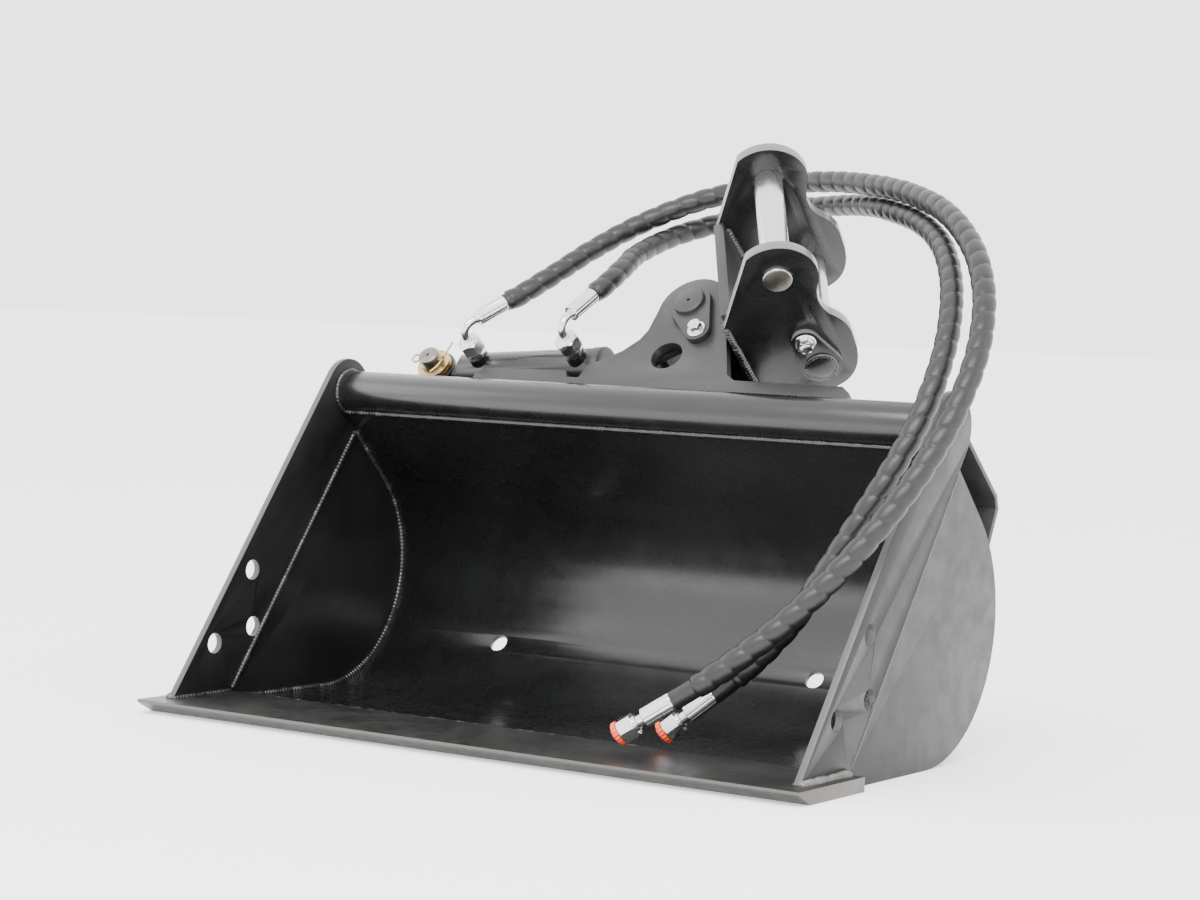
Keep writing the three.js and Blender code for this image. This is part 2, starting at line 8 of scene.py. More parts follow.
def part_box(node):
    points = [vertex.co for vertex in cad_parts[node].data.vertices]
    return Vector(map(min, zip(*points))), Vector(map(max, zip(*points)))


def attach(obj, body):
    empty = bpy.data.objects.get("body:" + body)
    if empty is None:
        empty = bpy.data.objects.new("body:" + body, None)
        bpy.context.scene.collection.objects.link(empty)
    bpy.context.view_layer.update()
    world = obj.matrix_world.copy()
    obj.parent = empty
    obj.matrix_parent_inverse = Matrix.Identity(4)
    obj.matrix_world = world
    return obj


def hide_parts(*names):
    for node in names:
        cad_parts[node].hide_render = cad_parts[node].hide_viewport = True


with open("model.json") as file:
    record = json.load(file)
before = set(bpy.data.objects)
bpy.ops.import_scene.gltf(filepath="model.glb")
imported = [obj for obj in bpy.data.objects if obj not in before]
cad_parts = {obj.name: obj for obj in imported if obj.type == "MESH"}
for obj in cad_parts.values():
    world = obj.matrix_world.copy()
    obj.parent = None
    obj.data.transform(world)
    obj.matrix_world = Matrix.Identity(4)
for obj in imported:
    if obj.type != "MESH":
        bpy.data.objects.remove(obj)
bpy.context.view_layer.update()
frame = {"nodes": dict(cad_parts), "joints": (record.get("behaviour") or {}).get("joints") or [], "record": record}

MM = 0.001
TURN = 2 * math.pi


# ---- places read from the frame ----
def middle(node):
    low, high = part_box(node)
    return (low + high) / 2


def on_axis(node, way):
    """Where a round or six-sided node's own axis starts and ends, along way."""
    u = way.orthogonal().normalized()
    v = way.cross(u)
    points = [vertex.co for vertex in frame["nodes"][node].data.vertices]
    spans = [(min(p.dot(d) for p in points), max(p.dot(d) for p in points)) for d in (u, v, way)]
    centre = u * sum(spans[0]) / 2 + v * sum(spans[1]) / 2
    return centre + way * spans[2][0], centre + way * spans[2][1]


ACROSS = Vector((1, 0, 0))
TILT = next(j for j in frame["joints"] if j["name"] == "tilt")
PIVOT = Vector(TILT["pos_m"])
BACK = -Vector(TILT["axis"]).normalized()          # along the tilt axis, away from the mouth
ABOVE = ACROSS.cross(BACK)                         # square to the deck
PIN_WAY = (middle("ear_near") - middle("ear_far")).normalized()
AWAY = PIN_WAY.cross(BACK)                         # from the tilt axis to the ear pins


def tilted(x, y, z):
    """A point in the tilt frame: across, along the tilt axis and square to the deck."""
    return PIVOT + ACROSS * x + BACK * y + ABOVE * z


def on_head(x, y, z):
    """A point in the headstock's own frame: along the ear pins, along the tilt axis and away from it."""
    return PIVOT + PIN_WAY * x + BACK * y + AWAY * z


# ---- camera ----
CAMERA_AT = Vector((1.77275, -2.70007, 0.46990))
CAMERA_RIGHT = Vector((0.83067059, 0.55556814, 0.03647488))
CAMERA_UP = Vector((-0.05876995, 0.02234785, 0.99802138))


def make_camera():
    data = bpy.data.cameras.new("camera")
    data.lens = 88.54
    data.sensor_width = 36
    camera = bpy.data.objects.new("camera", data)
    bpy.context.scene.collection.objects.link(camera)
    turn = Matrix((CAMERA_RIGHT, CAMERA_UP, CAMERA_RIGHT.cross(CAMERA_UP))).transposed()
    camera.matrix_world = Matrix.Translation(CAMERA_AT) @ turn.to_4x4()
    bpy.context.scene.camera = camera


make_camera()


# ---- materials ----
def surface(name, color, rough, metal=0.0, spread=0.25, patch=9.0, bump=0.0, grain=900.0, coat=0.0, gloss=0.5,
            rim=None):
    """Paint, plating or plastic: colour varies in soft patches, gloss in smaller ones, over fine grain.
    rim = (axis, colour) gives a plate's cut edges, which face away from axis, a colour of their own."""
    material = bpy.data.materials.new(name)
    material.use_nodes = True
    nodes = material.node_tree.nodes
    links = material.node_tree.links
    shader = nodes["Principled BSDF"]
    shader.inputs["Metallic"].default_value = metal
    shader.inputs["Specular IOR Level"].default_value = gloss
    shader.inputs["Coat Weight"].default_value = coat
    shader.inputs["Coat Roughness"].default_value = 0.2
    place = nodes.new("ShaderNodeTexCoord")

    def noise_of(scale, detail):
        node = nodes.new("ShaderNodeTexNoise")
        node.inputs["Scale"].default_value = scale
        node.inputs["Detail"].default_value = detail
        links.new(place.outputs["Object"], node.inputs["Vector"])
        return node.outputs["Fac"]

    def ranged(value, low, high):
        node = nodes.new("ShaderNodeMapRange")
        node.inputs["From Min"].default_value = 0.3
        node.inputs["From Max"].default_value = 0.7
        node.inputs["To Min"].default_value = low
        node.inputs["To Max"].default_value = high
        links.new(value, node.inputs["Value"])
        return node.outputs["Result"]

    def mixed(factor, low, high):
        node = nodes.new("ShaderNodeMix")
        node.data_type = "RGBA"
        links.new(factor, node.inputs["Factor"])
        first, second = node.inputs[6], node.inputs[7]     # a colour mix's A and B
        for socket, value in ((first, low), (second, high)):
            if isinstance(value, bpy.types.NodeSocket):
                links.new(value, socket)
            else:
                socket.default_value = (*value, 1)
        return node.outputs[2]

    dark = tuple(c * (1 - spread) for c in color)
    light = tuple(c * (1 + spread) for c in color)
    tone = mixed(ranged(noise_of(patch, 6), 0, 1), dark, light)
    if rim:
        axis, rim_color = rim
        facing = nodes.new("ShaderNodeVectorMath")
        facing.operation = "DOT_PRODUCT"
        facing.inputs[1].default_value = axis
        links.new(place.outputs["Normal"], facing.inputs[0])
        size = nodes.new("ShaderNodeMath")
        size.operation = "ABSOLUTE"
        links.new(facing.outputs["Value"], size.inputs[0])
        ramp = nodes.new("ShaderNodeMapRange")
        ramp.inputs["From Min"].default_value = 0.75
        ramp.inputs["From Max"].default_value = 0.35
        links.new(size.outputs[0], ramp.inputs["Value"])
        tone = mixed(ramp.outputs["Result"], tone, rim_color)
    links.new(tone, shader.inputs["Base Color"])
    links.new(ranged(noise_of(patch * 4, 4), rough * 0.82, rough * 1.2), shader.inputs["Roughness"])
    relief = nodes.new("ShaderNodeBump")
    relief.inputs["Strength"].default_value = bump
    relief.inputs["Distance"].default_value = 0.3 * MM
    links.new(noise_of(grain, 3), relief.inputs["Height"])
    links.new(relief.outputs["Normal"], shader.inputs["Normal"])
    return material


EDGE_GRAY = (0.13, 0.13, 0.128)
CUT_GRAY = (0.085, 0.085, 0.084)
BLACK = surface("black_paint", (0.006, 0.0063, 0.0066), 0.27, spread=0.3, bump=0.1, grain=420, coat=0.3)
GRAPHITE = surface("graphite_paint", (0.024, 0.0245, 0.026), 0.36, spread=0.3, patch=14, bump=0.14, grain=420)
SIDE_PAINT = surface("side_paint", (0.0085, 0.0087, 0.0092), 0.36, spread=0.3, patch=11, bump=0.12, grain=420,
                     gloss=0.3, rim=(ACROSS, CUT_GRAY))
EAR_PAINT = surface("ear_paint", (0.005, 0.0052, 0.0055), 0.27, bump=0.1, grain=420, coat=0.3,
                    rim=(PIN_WAY, EDGE_GRAY))
EDGE_PAINT = surface("edge_paint", (0.015, 0.0145, 0.014), 0.36, spread=0.5, patch=18, bump=0.25, grain=300,
                     rim=((0, 0, 1), (0.075, 0.066, 0.056)))
WELD_PAINT = surface("weld_paint", (0.014, 0.014, 0.0145), 0.27, spread=0.35, patch=60, bump=0.15, coat=0.3)
BARE_WELD = surface("bare_weld", (0.11, 0.107, 0.1), 0.34, metal=0.35, spread=0.35, patch=70, bump=0.2)
STEEL = surface("bright_steel", (0.62, 0.61, 0.6), 0.24, metal=1.0, spread=0.06, patch=12, bump=0.05)
OLD_STEEL = surface("dull_steel", (0.23, 0.21, 0.19), 0.34, metal=1.0, spread=0.25, patch=110, bump=0.12)
ZINC = surface("zinc", (0.7, 0.71, 0.72), 0.2, metal=1.0, spread=0.07, patch=50, bump=0.04)
YELLOW_ZINC = surface("yellow_zinc", (0.58, 0.42, 0.19), 0.3, metal=1.0, spread=0.35, patch=90, bump=0.06)
CAP_RED = surface("cap_red", (0.8, 0.085, 0.02), 0.42, spread=0.1, patch=80, bump=0.1)
GUARD = surface("hose_guard", (0.0075, 0.0075, 0.008), 0.38, spread=0.35, patch=120, bump=0.3, grain=700)

MATERIALS = {
    "black_paint": BLACK, "graphite_paint": GRAPHITE, "edge_paint": EDGE_PAINT, "bright_steel": STEEL,
    "zinc": ZINC, "yellow_zinc": YELLOW_ZINC, "cap_red": CAP_RED, "hose_guard": GUARD,
}


# ---- shapes ----
def add_piece(name, rings, body, material, nodes=(), capped=True, closed=False):
    """A mesh from rings of equal numbers of points, riding on body."""
    sides = len(rings[0])
    faces = []
    spans = len(rings) if closed else len(rings) - 1
    for i in range(spans):
        a = i * sides
        b = (i + 1) % len(rings) * sides
        faces += [(a + k, a + (k + 1) % sides, b + (k + 1) % sides, b + k) for k in range(sides)]
    if capped and not closed:
        faces.append(tuple(reversed(range(sides))))
        faces.append(tuple(range((len(rings) - 1) * sides, len(rings) * sides)))
    data = bpy.data.meshes.new(name)
    data.from_pydata([p for ring in rings for p in ring], [], faces)
    data.materials.append(material)
    data.shade_smooth()
    data.set_sharp_from_angle(angle=math.radians(35))
    piece = bpy.data.objects.new(name, data)
    bpy.context.scene.collection.objects.link(piece)
    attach(piece, body)
    if nodes:
        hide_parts(*nodes)
    return piece


def frames_along(points):
    """The two cross directions at each point, carried along without twist."""
    last = len(points) - 1
    ways = [(points[min(i + 1, last)] - points[max(i - 1, 0)]).normalized() for i in range(last + 1)]
    side = ways[0].orthogonal().normalized()
    out = []
    for way in ways:
        side = (side - way * side.dot(way)).normalized()
        out.append((side, way.cross(side)))
    return out


def swept(points, radius, sides):
    """Rings round a line; radius is a function of the ring's number and the angle."""
    rings = []
    for i, (point, (u, v)) in enumerate(zip(points, frames_along(points))):
        ring = []
        for k in range(sides):
            angle = TURN * k / sides
            ring.append(point + (u * math.cos(angle) + v * math.sin(angle)) * radius(i, angle))
        rings.append(ring)
    return rings


def turned(start, way, profile, sides=48):
    """Rings round a straight axis. profile holds (distance along it, radius or function of the angle)."""
    u = way.orthogonal().normalized()
    v = way.cross(u)
    rings = []
    for distance, radius in profile:
        ring = []
        for k in range(sides):
            angle = TURN * k / sides
            r = radius(angle) if callable(radius) else radius
            ring.append(start + way * distance + (u * math.cos(angle) + v * math.sin(angle)) * r)
        rings.append(ring)
    return rings


def hexagon(corner, cone):
    """A six-sided radius that a cone of radius cone cuts back at the corners."""
    flat = corner * math.cos(math.pi / 6)

    def radius(angle):
        off = (angle + math.pi / 6) % (math.pi / 3) - math.pi / 6
        return min(flat / math.cos(off), cone)
    return radius


def hex_profile(length, corner, both_ends=True):
    """A nut's or bolt head's profile, with the round chamfer that cuts its corners."""
    cut = 0.13 * corner
    rise = cut * 0.58
    steps = [(0.0, corner - cut), (rise * 0.5, corner - cut * 0.5), (rise, corner)]
    start = steps if both_ends else [(0.0, corner)]
    levels = start + [(length - d, r) for d, r in reversed(steps)]
    return [(d, hexagon(corner, r)) for d, r in levels]


def nut_profile(collar, length, corner):
    """A round collar, as (distance, radius) pairs, and then a six-sided nut."""
    rise = collar[-1][0]
    return collar + [(d + rise, r) for d, r in hex_profile(length, corner)]


# ---- hoses ----
HOSE_D = 0.025
BARE_R = 10.2 * MM
GUARD_PITCH = 23 * MM
GUARD_DEPTH = 2.4 * MM
GUARD_UNEVEN = 0.4 * MM
RING_STEP = 1.6 * MM
BARE_START = 4 * MM                    # how much of each end the guard leaves bare
BARE_END = 26 * MM
GAP = 0.5 * MM                         # between a hose and its ferrules
CORNER_GAP = 43 * MM                   # from a port adapter's middle to its elbow's corner
LEG = 20.5 * MM                        # from an elbow's corner to each of its ends
FERRULE_R = 10 * MM
FERRULE_LENGTH = 42.5 * MM
FERRULE_NECK = 3 * MM
END_FERRULE = 42 * MM
END_NECK = 7 * MM
END_NUT = 42.4 * MM                    # from the hose's end to its nut, and to its cap
END_CAP = 62.4 * MM
BUCKET_MIDDLE = Vector((0, middle("top_tube").y - 0.3223, middle("top_tube").z - 0.3358))

# Hose centrelines in millimetres, between the two ferrules.
ROUTES = [
    [(-224, 424, 455), (-205, 460, 479), (-180, 513, 514), (-147, 562, 546), (-98, 599, 573), (-35, 615, 590),
     (32, 610, 598), (96, 590, 599), (157, 559, 595), (213, 523, 588), (266, 483, 577), (317, 441, 561),
     (363, 398, 537), (403, 355, 504), (432, 312, 461), (445, 272, 408), (442, 234, 352), (426, 200, 296),
     (400, 169, 242), (367, 140, 191), (328, 113, 143), (282, 89, 99), (246, 75, 71)],
    [(-114, 431, 467), (-112, 449, 478), (-115, 481, 494), (-124, 512, 505), (-125, 552, 519),
     (-116, 595, 534), (-93, 630, 547), (-56, 654, 559), (-15, 662, 567), (28, 653, 571), (75, 632, 573),
     (120, 603, 573), (165, 568, 570), (214, 528, 562), (262, 486, 551), (305, 444, 535), (342, 400, 512),
     (372, 356, 479), (393, 313, 438), (403, 273, 392), (400, 240, 342), (384, 213, 289), (359, 194, 236),
     (331, 181, 184), (300, 173, 134), (268, 163, 96), (243, 156, 72)],
]
ENDS = [((230, 70, 60), (167, 50, 16)), ((229, 150, 59), (181, 131, 16))]


def in_row(point):
    return BUCKET_MIDDLE + Vector(point) * MM


def smooth_line(points, per_span=40):
    """A centripetal Catmull-Rom curve through the points."""
    ends = [points[0] * 2 - points[1], *points, points[-1] * 2 - points[-2]]
    line = []
    for p0, p1, p2, p3 in zip(ends, ends[1:], ends[2:], ends[3:]):
        d0, d1, d2 = (math.sqrt((b - a).length) for a, b in ((p0, p1), (p1, p2), (p2, p3)))
        m1 = ((p1 - p0) / d0 - (p2 - p0) / (d0 + d1) + (p2 - p1) / d1) * d1
        m2 = ((p2 - p1) / d1 - (p3 - p1) / (d1 + d2) + (p3 - p2) / d2) * d1
        for i in range(per_span):
            t = i / per_span
            line.append(p1 * (2 * t**3 - 3 * t**2 + 1) + m1 * (t**3 - 2 * t**2 + t)
                        + p2 * (3 * t**2 - 2 * t**3) + m2 * (t**3 - t**2))
    return line + [points[-1]]


def spaced(line, step):
    """The same line with its points a step apart, and its length."""
    total = sum((b - a).length for a, b in zip(line, line[1:]))
    count = round(total / step)
    out = [line[0]]
    gone = 0.0
    for a, b in zip(line, line[1:]):
        span = (b - a).length
        while len(out) < count and gone + span >= len(out) * total / count:
            out.append(a.lerp(b, (len(out) * total / count - gone) / span))
        gone += span
    return out + [line[-1]], total


def elbow_corner(n):
    return middle(f"port_adapter_{n}") - BACK * CORNER_GAP


def leave_way(n):
    return (middle(f"hose_ferrule_{n}") - elbow_corner(n)).normalized()


def ferrule_profile(length, r, neck):
    """A crimped ferrule from its neck to the hose: the crimping dies leave flats along it."""
    flats = 10

    def crimped(angle):
        off = (angle * flats / TURN) % 1 - 0.5
        return r * (0.93 + 0.07 * (1 - (2 * abs(off)) ** 3))

    shank = [(0, r * 0.6), (neck, r * 0.6), (neck, r * 0.86)]
    crimp = [(neck + 1.2 * MM, crimped), (length - 2 * MM, crimped)]
    return shank + crimp + [(length - 1.2 * MM, r), (length, r * 0.96)]


def guard_radius(n, length, step):
    """Hose n's radius along its rings: a wrapped strip with a groove between its turns, bare at both ends."""
    def radius(i, angle):
        s = i * step
        to_guard = min(s - BARE_START, length - BARE_END - s)
        if to_guard < 0:
            return BARE_R
        full = HOSE_D / 2 + GUARD_UNEVEN * noise.noise(Vector((s * 45, n, angle)))
        share = (s / GUARD_PITCH - angle / TURN) % 1
        wave = full - GUARD_DEPTH * (1 - math.sin(math.pi * share) ** 0.32)
        return max(BARE_R, min(wave, BARE_R + to_guard))
    return radius


def ribbed(angle):
    """A cap's radius, with the fine ribs round its rim."""
    return (12.1 + 0.4 * math.cos(18 * angle)) * MM


def end_fitting(n, end_at, end_way):
    """The ferrule, nut and cap on hose n's free end."""
    crimp = ferrule_profile(END_FERRULE, FERRULE_R, END_NECK)
    ferrule = add_piece(f"end_ferrule_{n}", turned(end_at + end_way * END_FERRULE, -end_way, crimp, sides=120),
                        "bucket", ZINC, [f"hose_end_ferrule_{n}"])
    hexagonal = nut_profile([(0, 8 * MM), (3 * MM, 8 * MM)], 16.6 * MM, 13.5 * MM)
    nut = add_piece(f"end_nut_{n}", turned(end_at + end_way * END_NUT, end_way, hexagonal),
                    "bucket", ZINC, [f"hose_end_nut_{n}"])
    rim = [(0, 9.4 * MM), (0.5 * MM, ribbed), (5 * MM, ribbed), (6 * MM, 11.2 * MM), (6.1 * MM, 8.4 * MM),
           (7.5 * MM, 8 * MM)]
    cap = add_piece(f"end_cap_{n}", turned(end_at + end_way * END_CAP, end_way, rim, sides=144),
                    "bucket", CAP_RED, [f"hose_cap_{n}"])
    return [ferrule, nut, cap]


def make_hose(n):
    start_mm, end_mm = ENDS[n - 1]
    start = elbow_corner(n) + leave_way(n) * (LEG + FERRULE_LENGTH + GAP)
    end_at = in_row(start_mm)
    end_way = (in_row(end_mm) - end_at).normalized()
    line = smooth_line([start, *map(in_row, ROUTES[n - 1]), end_at - end_way * GAP])
    points, length = spaced(line, RING_STEP)
    radius = guard_radius(n, length, length / (len(points) - 1))
    rings = swept(points, radius, 28)
    hose = add_piece(f"spiral_hose_{n}", rings, "bucket", GUARD, [f"hose_{n}"])
    fitting = end_fitting(n, end_at, end_way)


for number in (1, 2):
    make_hose(number)


# ---- port fittings ----
ELBOW_R = 5 * MM
NUT_GAP = 0.3 * MM                     # from the end of an elbow's leg to its nut
PIPE_PAST = (0.2 * MM, 0.3 * MM)       # how far the pipe runs past its legs, at the nut and at the ferrule


def make_fitting(n):
    corner = elbow_corner(n)
    way = leave_way(n)
    low = corner + BACK * LEG
    high = corner + way * LEG
    bend = [low * (1 - t)**2 + corner * 2 * t * (1 - t) + high * t**2 for t in (i / 24 for i in range(25))]
    line = [low + BACK * PIPE_PAST[0], *bend, high + way * PIPE_PAST[1]]
    pipe = swept(line, lambda i, angle: ELBOW_R, 28)
    add_piece(f"elbow_pipe_{n}", pipe, "bucket", ZINC, [f"elbow_{n}"])
    crimp = ferrule_profile(FERRULE_LENGTH - GAP, FERRULE_R, FERRULE_NECK)
    add_piece(f"ferrule_{n}", turned(corner + way * (LEG + GAP), way, crimp, sides=120),
              "bucket", ZINC, [f"hose_ferrule_{n}"])
    nut = nut_profile([(0, 7 * MM), (2 * MM, 9 * MM)], 15.6 * MM, 14.5 * MM)
    add_piece(f"swivel_nut_{n}", turned(corner + BACK * (LEG + NUT_GAP), BACK, nut),
              "bucket", ZINC, [f"port_nut_{n}"])


for number in (1, 2):
    make_fitting(number)


# ---- flange bolts, pins and the split pin ----
def flange_bolt(name, node, way, flange_r, head_r, body):
    """A bolt with a flange and a dished head; way points out of the plate."""
    foot, top = on_axis(node, way)
    height = (top - foot).length
    rise = 1.6 * MM
    head = [(d + rise, r) for d, r in hex_profile(height - rise, head_r, both_ends=False)]
    dish = [(height, head_r * 0.6), (height - 1 * MM, head_r * 0.42), (height - 1 * MM, head_r * 0.1)]
    profile = [(0, flange_r), (0.8 * MM, flange_r), (rise, flange_r * 0.93), *head, *dish]
    add_piece(name, turned(foot, way, profile, sides=72), body, ZINC, [node])


flange_bolt("flange_bolt_tilt", "tilt_flag_bolt", -BACK, 11 * MM, 8 * MM, "bucket")
flange_bolt("flange_bolt_ear", "ear_flag_bolt", PIN_WAY, 12 * MM, 9 * MM, "headstock")


def pin(name, node, way, material, body, face=None, dimple=0.0):
    """A turned pin with chamfered ends; way points out of its shown end, which may have a drilled centre."""
    start, end = on_axis(node, way)
    low, high = on_axis(node, way.orthogonal().normalized())
    r = (high - low).length / 2
    length = (end - start).length
    chamfer = 1.6 * MM
    far = [(length - chamfer, r), (length - chamfer * 0.4, r - chamfer * 0.35), (length, r - chamfer)]
    profile = [(0, r - chamfer), (chamfer, r), *far]
    if dimple:
        profile += [(length, dimple * 1.25), (length - 0.5 * MM, dimple), (length - 4 * MM, dimple)]
    piece = add_piece(name, turned(start, way, profile, sides=72), body, material, [node])
    if face:
        piece.data.materials.append(face)
        for polygon in piece.data.polygons:
            polygon.material_index = int((polygon.center - start).dot(way) > length - 0.5 * MM)
    return piece


pin("cross_pin_front", "ear_pin_front", PIN_WAY, STEEL, "headstock", face=OLD_STEEL)
pin("cross_pin_rear", "ear_pin_rear", PIN_WAY, STEEL, "headstock", face=BLACK)
pin("tilt_pivot", "tilt_pin", -BACK, GRAPHITE, "bucket", dimple=1.8 * MM)
pin("cylinder_stud", "stud_pin", -BACK, OLD_STEEL, "bucket", dimple=1.6 * MM)


def ring_on(name, centre, way, r, body, material, seed):
    """An uneven painted ring on a pin's face, as a weld run leaves it."""
    u = way.orthogonal().normalized()
    v = way.cross(u)
    points = [centre + (u * math.cos(a) + v * math.sin(a)) * r for a in (TURN * i / 60 for i in range(61))]
    return bead(name, points, 2.2 * MM, body, seed, material)


SPLIT_WIRE = 1.3 * MM
SPLIT_Y = 0.020                        # where the pin passes through the stud, along the tilt axis
SPLIT_EYE_X = -20.5 * MM
SPLIT_EYE_R = 5.5 * MM
SHANK = (-13, -5, 5, 12, 17)           # along the stud's hole, in millimetres
SHANK_APART = 0.9 * MM
BENT_OUT = 3.5 * MM
SPLIT_LEGS = {
    "upper": (1, [(20, 4), (21, 10), (21.5, 17), (22, 24)]),
    "lower": (-1, [(20, -4), (19.5, -10), (17, -16), (13, -22)]),
}


def make_split_pin():
    """A doubled wire through the stud: an eye on the left and two legs bent apart on the right."""
    centre = middle("stud_washer_1")
    hole = centre + BACK * (tilted(0, SPLIT_Y, 0) - centre).dot(BACK)
    eye_at = hole + ACROSS * SPLIT_EYE_X
    for label, (side, leg) in SPLIT_LEGS.items():
        angles = [math.radians(12 * i) for i in range(13)]
        eye = [eye_at + (ABOVE * side * math.sin(a) - ACROSS * math.cos(a)) * SPLIT_EYE_R for a in angles]
        shank = [hole + ACROSS * x * MM + ABOVE * side * SHANK_APART for x in SHANK]
        bent = [hole + ACROSS * x * MM + ABOVE * z * MM - BACK * BENT_OUT for x, z in leg]
        line = spaced(smooth_line([*eye, *shank, *bent], 4), 0.8 * MM)[0]
        add_piece(f"split_pin_{label}", swept(line, lambda i, angle: SPLIT_WIRE, 12), "bucket", YELLOW_ZINC,
                  ["split_pin"] if side > 0 else ())


make_split_pin()


# ---- welds ----
def bead(name, points, radius, body, seed, material=None):
    """A weld bead along a line: overlapping ripples with an uneven width."""
    step = 1.1 * MM
    ripple = 4.5 * MM
    line = spaced(points, step)[0]

    def size(i, angle):
        s = i * step
        ridge = 1 - 0.22 * ((s / ripple) % 1) ** 2
        uneven = 1 + 0.25 * noise.noise(Vector((s * 90, seed * 7.3, 0)))
        taper = min(1.0, 0.35 + 0.25 * min(i, len(line) - 1 - i))
        return radius * ridge * uneven * taper
    return add_piece(name, swept(line, size, 12), body, material or WELD_PAINT)


PLATE_WELD = 3.2 * MM
THIN_WELD = 2.2 * MM
SHELL_WELD = 4 * MM
FOOT_WELD = 6 * MM
EDGE_WELD = 4.5 * MM
EAR_WELD = 5.5 * MM
NECK_WELD = 3.5 * MM

INNER_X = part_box("shell")[1].x
TUBE_AT = middle("top_tube")
TUBE_R = (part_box("top_tube")[1].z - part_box("top_tube")[0].z) / 2
HEEL_R = 0.148
SHELL_THICK = 0.006
CUTTER_OUTER = INNER_X + 0.0085        # just outside a cutter's outer face
HEEL = Vector((0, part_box("shell")[1].y - HEEL_R, HEEL_R))
CUTTER_SLOPE = math.radians(54)
CUTTER_HALF = 0.0382
SEAM_TOP = 0.3047                      # where a cutter's back edge meets the shell
BLADE_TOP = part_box("cutting_edge")[1].z
BLADE_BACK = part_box("cutting_edge")[1].y

# In the tilt frame: the deck's height, the brackets' ends and welded faces, and the deck's front edge.
DECK = -0.1433
BRACKET_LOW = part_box("bracket_front")[0].x
BRACKET_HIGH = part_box("bracket_front")[1].x
BRACKET_WELDS = {"bracket_weld_front": (0.012, 23), "bracket_weld_back": (0.024, 24),
                 "rear_bracket_weld": (0.112, 25)}
DECK_FRONT = 0.009


def cutter_line(x, off, low, high):
    """A straight line along the cutter, off its centre line, from height low to height high."""
    out = []
    for z in (low, high):
        y0 = TUBE_AT.y - off * math.sin(CUTTER_SLOPE)
        z0 = TUBE_AT.z + off * math.cos(CUTTER_SLOPE)
        out.append(Vector((x, y0 + (z - z0) / math.tan(CUTTER_SLOPE), z)))
    return out


def heel_arc(x, r, first, last, steps=60):
    angles = [math.radians(first + (last - first) * i / steps) for i in range(steps + 1)]
    return [Vector((x, HEEL.y + r * math.cos(a), HEEL.z + r * math.sin(a))) for a in angles]


def ring_round_tube(x):
    angles = [math.radians(5 * i) for i in range(73)]
    return [Vector((x, TUBE_AT.y + TUBE_R * math.cos(a), TUBE_AT.z + TUBE_R * math.sin(a))) for a in angles]


def side_welds(label, side):
    """One side's welds: cutter to side plate, sides to shell and tube, and the cutter's foot on the blade."""
    inside = side * (INNER_X - 0.0003)
    seam = cutter_line(inside, -CUTTER_HALF, BLADE_TOP + 0.002, SEAM_TOP)
    bead(f"seam_weld_{label}", seam, PLATE_WELD, "bucket", 1 + side)
    outside = side * (abs(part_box(f"side_plate_{label}")[0 if side < 0 else 1].x) + 0.0005)
    outer_seam = cutter_line(outside, -CUTTER_HALF - 0.001, 0.02, SEAM_TOP)
    bead(f"outer_seam_{label}", outer_seam, THIN_WELD, "bucket", 5 + side)
    floor_end = Vector((inside, BLADE_BACK, SHELL_THICK + 0.001))
    arc = [floor_end, *heel_arc(inside, HEEL_R - SHELL_THICK, -90, 45), seam[1]]
    bead(f"shell_weld_{label}", arc, SHELL_WELD, "bucket", 9 + side)
    bead(f"tube_weld_{label}", ring_round_tube(side * (INNER_X - 0.001)), PLATE_WELD, "bucket", 13 + side)
    foot_y = [cutter_line(0, off, BLADE_TOP, BLADE_TOP)[0].y for off in (CUTTER_HALF, -CUTTER_HALF)]
    for face, at_x, radius, material in (("in", INNER_X, PLATE_WELD, WELD_PAINT),
                                         ("out", CUTTER_OUTER, FOOT_WELD, BARE_WELD)):
        line = [Vector((side * at_x, y, BLADE_TOP)) for y in foot_y]
        bead(f"foot_weld_{face}_{label}", line, radius, "bucket", 17 + side, material)


def across(y, z):
    """A line from side to side inside the bucket."""
    return [Vector((x, y, z)) for x in (-INNER_X, INNER_X)]


def bucket_welds():
    for label, side in (("left", -1), ("right", 1)):
        side_welds(label, side)
    under = TUBE_AT.z - TUBE_R
    bead("tube_seam_front", across(TUBE_AT.y - 0.010, under), 3.4 * MM, "bucket", 27, BLACK)
    bead("tube_seam_back", across(TUBE_AT.y + 0.006, under - 0.001), 3.8 * MM, "bucket", 28)
    bead("edge_weld", across(BLADE_BACK + 0.0015, BLADE_TOP - 0.004), EDGE_WELD, "bucket", 21)
    for name, (y, seed) in BRACKET_WELDS.items():
        bead(name, [tilted(x, y, DECK) for x in (BRACKET_LOW, BRACKET_HIGH)], PLATE_WELD, "bucket", seed)
    front = [tilted(x, DECK_FRONT, DECK - 0.003) for x in (-INNER_X, INNER_X)]
    bead("deck_weld", front, PLATE_WELD, "bucket", 26)


# In the headstock's frame: the base plate's faces and ends, the ears' faces and the hub's neck.
BASE_TOP = 0.058
BASE_LOW = 0.046
EAR_INNER = 0.0758
EAR_OUTER = 0.0878
NECK_HALF = 0.024


def head_welds():
    for label, side in (("near", 1), ("far", -1)):
        for place, z in (("top", BASE_TOP), ("low", BASE_LOW)):
            line = [on_head(side * EAR_INNER, y, z) for y in (-0.017, 0.100)]
            bead(f"ear_weld_{place}_{label}", line, EAR_WELD, "headstock", 30 + side + int(place == "top"))
        line = [on_head(side * (EAR_OUTER - 0.001), y, BASE_LOW + 0.002) for y in (-0.018, 0.101)]
        bead(f"ear_foot_weld_{label}", line, EDGE_WELD, "headstock", 40 + side)
    for label, side in (("near", 1), ("far", -1)):
        line = [on_head(side * NECK_HALF, y, BASE_LOW) for y in (0.027, 0.098)]
        bead(f"neck_weld_{label}", line, NECK_WELD, "headstock", 36 + side)


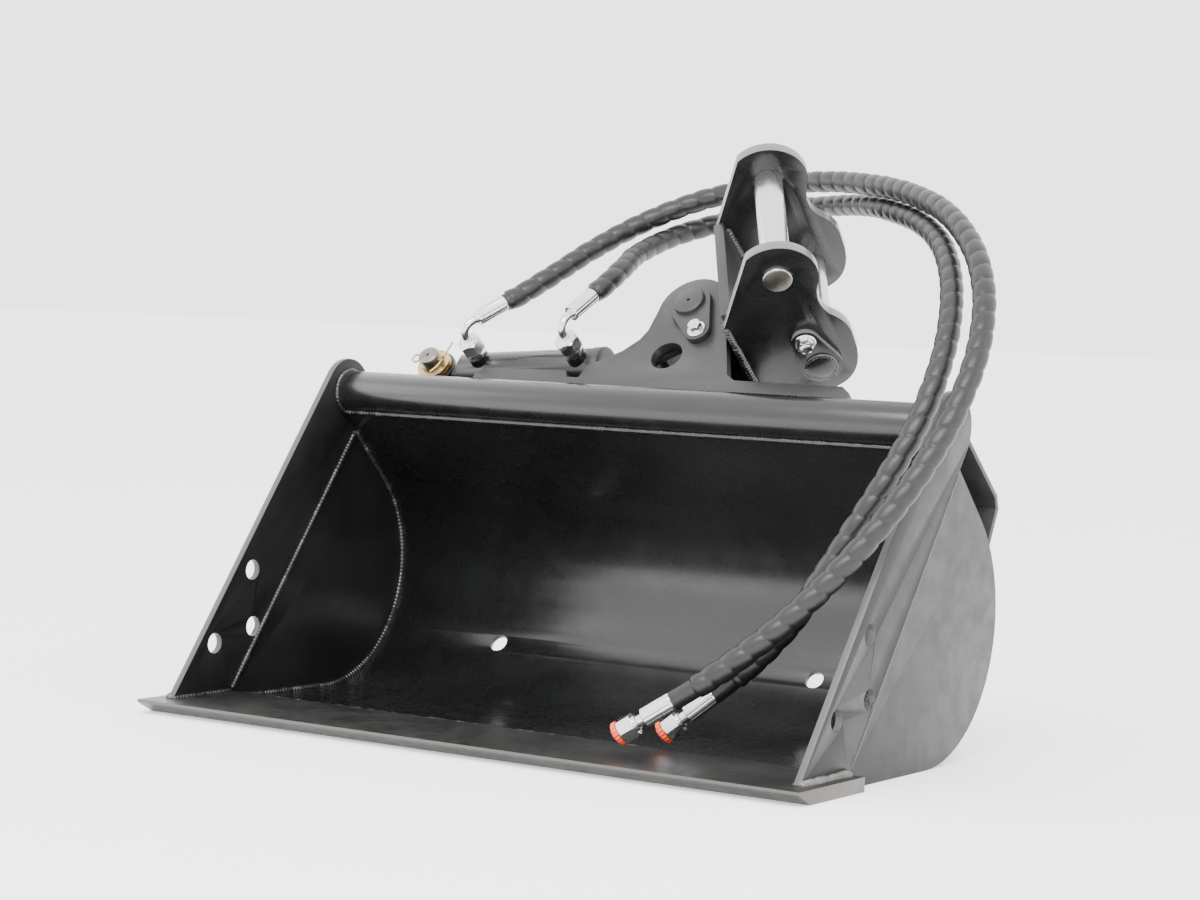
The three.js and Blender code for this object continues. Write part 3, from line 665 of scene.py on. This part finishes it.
bucket_welds()
head_welds()
rear_pin_end = on_axis("ear_pin_rear", PIN_WAY)[1]
ring_on("pin_weld", rear_pin_end - PIN_WAY * 2.5 * MM, PIN_WAY, 16.5 * MM, "headstock", EAR_PAINT,
        50)



# ---- CAD pieces that stay: finish, smooth shading and softened edges ----
def smooth_shading():
    """Geometry nodes that drop a mesh's own normals and shade it smoothly, leaving its points as they are."""
    tree = bpy.data.node_groups.new("smooth_shading", "GeometryNodeTree")
    tree.interface.new_socket("Geometry", in_out="INPUT", socket_type="NodeSocketGeometry")
    tree.interface.new_socket("Geometry", in_out="OUTPUT", socket_type="NodeSocketGeometry")
    start = tree.nodes.new("NodeGroupInput")
    smooth = tree.nodes.new("GeometryNodeSetMeshNormal")
    smooth.mode = "SHARPNESS"
    smooth.inputs["Remove Custom"].default_value = True
    end = tree.nodes.new("NodeGroupOutput")
    tree.links.new(start.outputs[0], smooth.inputs[0])
    tree.links.new(smooth.outputs[0], end.inputs[0])
    return tree


SMOOTH = smooth_shading()


def dress(node, material):
    """Sets the finish, and lets curved faces shade smoothly between softened edges, all by modifiers."""
    piece = frame["nodes"][node]
    piece.material_slots[0].material = material
    piece.modifiers.new("smooth", "NODES").node_group = SMOOTH
    merge = piece.modifiers.new("merge", "WELD")
    merge.merge_threshold = 0.02 * MM
    soften = piece.modifiers.new("soften", "BEVEL")
    soften.width = 0.7 * MM
    soften.segments = 2
    soften.limit_method = "ANGLE"
    soften.angle_limit = math.radians(40)
    crease = piece.modifiers.new("crease", "EDGE_SPLIT")
    crease.split_angle = math.radians(28)


OWN_FINISH = {"ear_near": EAR_PAINT, "ear_far": EAR_PAINT, "ear_pin_flag": EAR_PAINT, "stud_pin": OLD_STEEL}
for side in ("left", "right"):
    OWN_FINISH[f"side_cutter_{side}"] = SIDE_PAINT
    OWN_FINISH[f"side_plate_{side}"] = SIDE_PAINT
for entry in frame["record"]["subparts"]:
    name = entry["node"]
    if not frame["nodes"][name].hide_render:
        dress(name, OWN_FINISH.get(name, MATERIALS[entry["material_slot"]]))


# ---- studio ----
def area_light(name, at, towards, size, power):
    data = bpy.data.lights.new(name, "AREA")
    data.shape = "RECTANGLE"
    data.size, data.size_y = size
    data.energy = power
    light = bpy.data.objects.new(name, data)
    bpy.context.scene.collection.objects.link(light)
    light.location = at
    light.rotation_euler = (Vector(towards) - Vector(at)).to_track_quat("-Z", "Y").to_euler()


def make_studio():
    data = bpy.data.meshes.new("floor")
    half = 30
    corners = [(-half, -half, 0), (half, -half, 0), (half, half, 0), (-half, half, 0)]
    data.from_pydata(corners, [], [(0, 1, 2, 3)])
    floor = bpy.data.objects.new("floor", data)
    bpy.context.scene.collection.objects.link(floor)
    pale = bpy.data.materials.new("pale_floor")
    pale.use_nodes = True
    shader = pale.node_tree.nodes["Principled BSDF"]
    shader.inputs["Base Color"].default_value = (0.92, 0.92, 0.92, 1)
    shader.inputs["Roughness"].default_value = 0.9
    shader.inputs["Emission Color"].default_value = (1, 1, 1, 1)
    shader.inputs["Emission Strength"].default_value = 0.6
    data.materials.append(pale)
    world = bpy.data.worlds.new("studio")
    world.use_nodes = True
    sky = world.node_tree.nodes["Background"]
    sky.inputs["Color"].default_value = (1, 1, 1, 1)
    sky.inputs["Strength"].default_value = 3.0
    bpy.context.scene.world = world
    area_light("key", (0.8, -2.2, 2.6), (0, 0, 0.25), (2.2, 1.4), 105)
    area_light("left_fill", (-2.8, -1.2, 1.2), (0, 0, 0.3), (1.6, 1.6), 18)
    area_light("right_rim", (3.0, 0.6, 1.4), (0.2, 0, 0.3), (1.2, 1.8), 12)


make_studio()
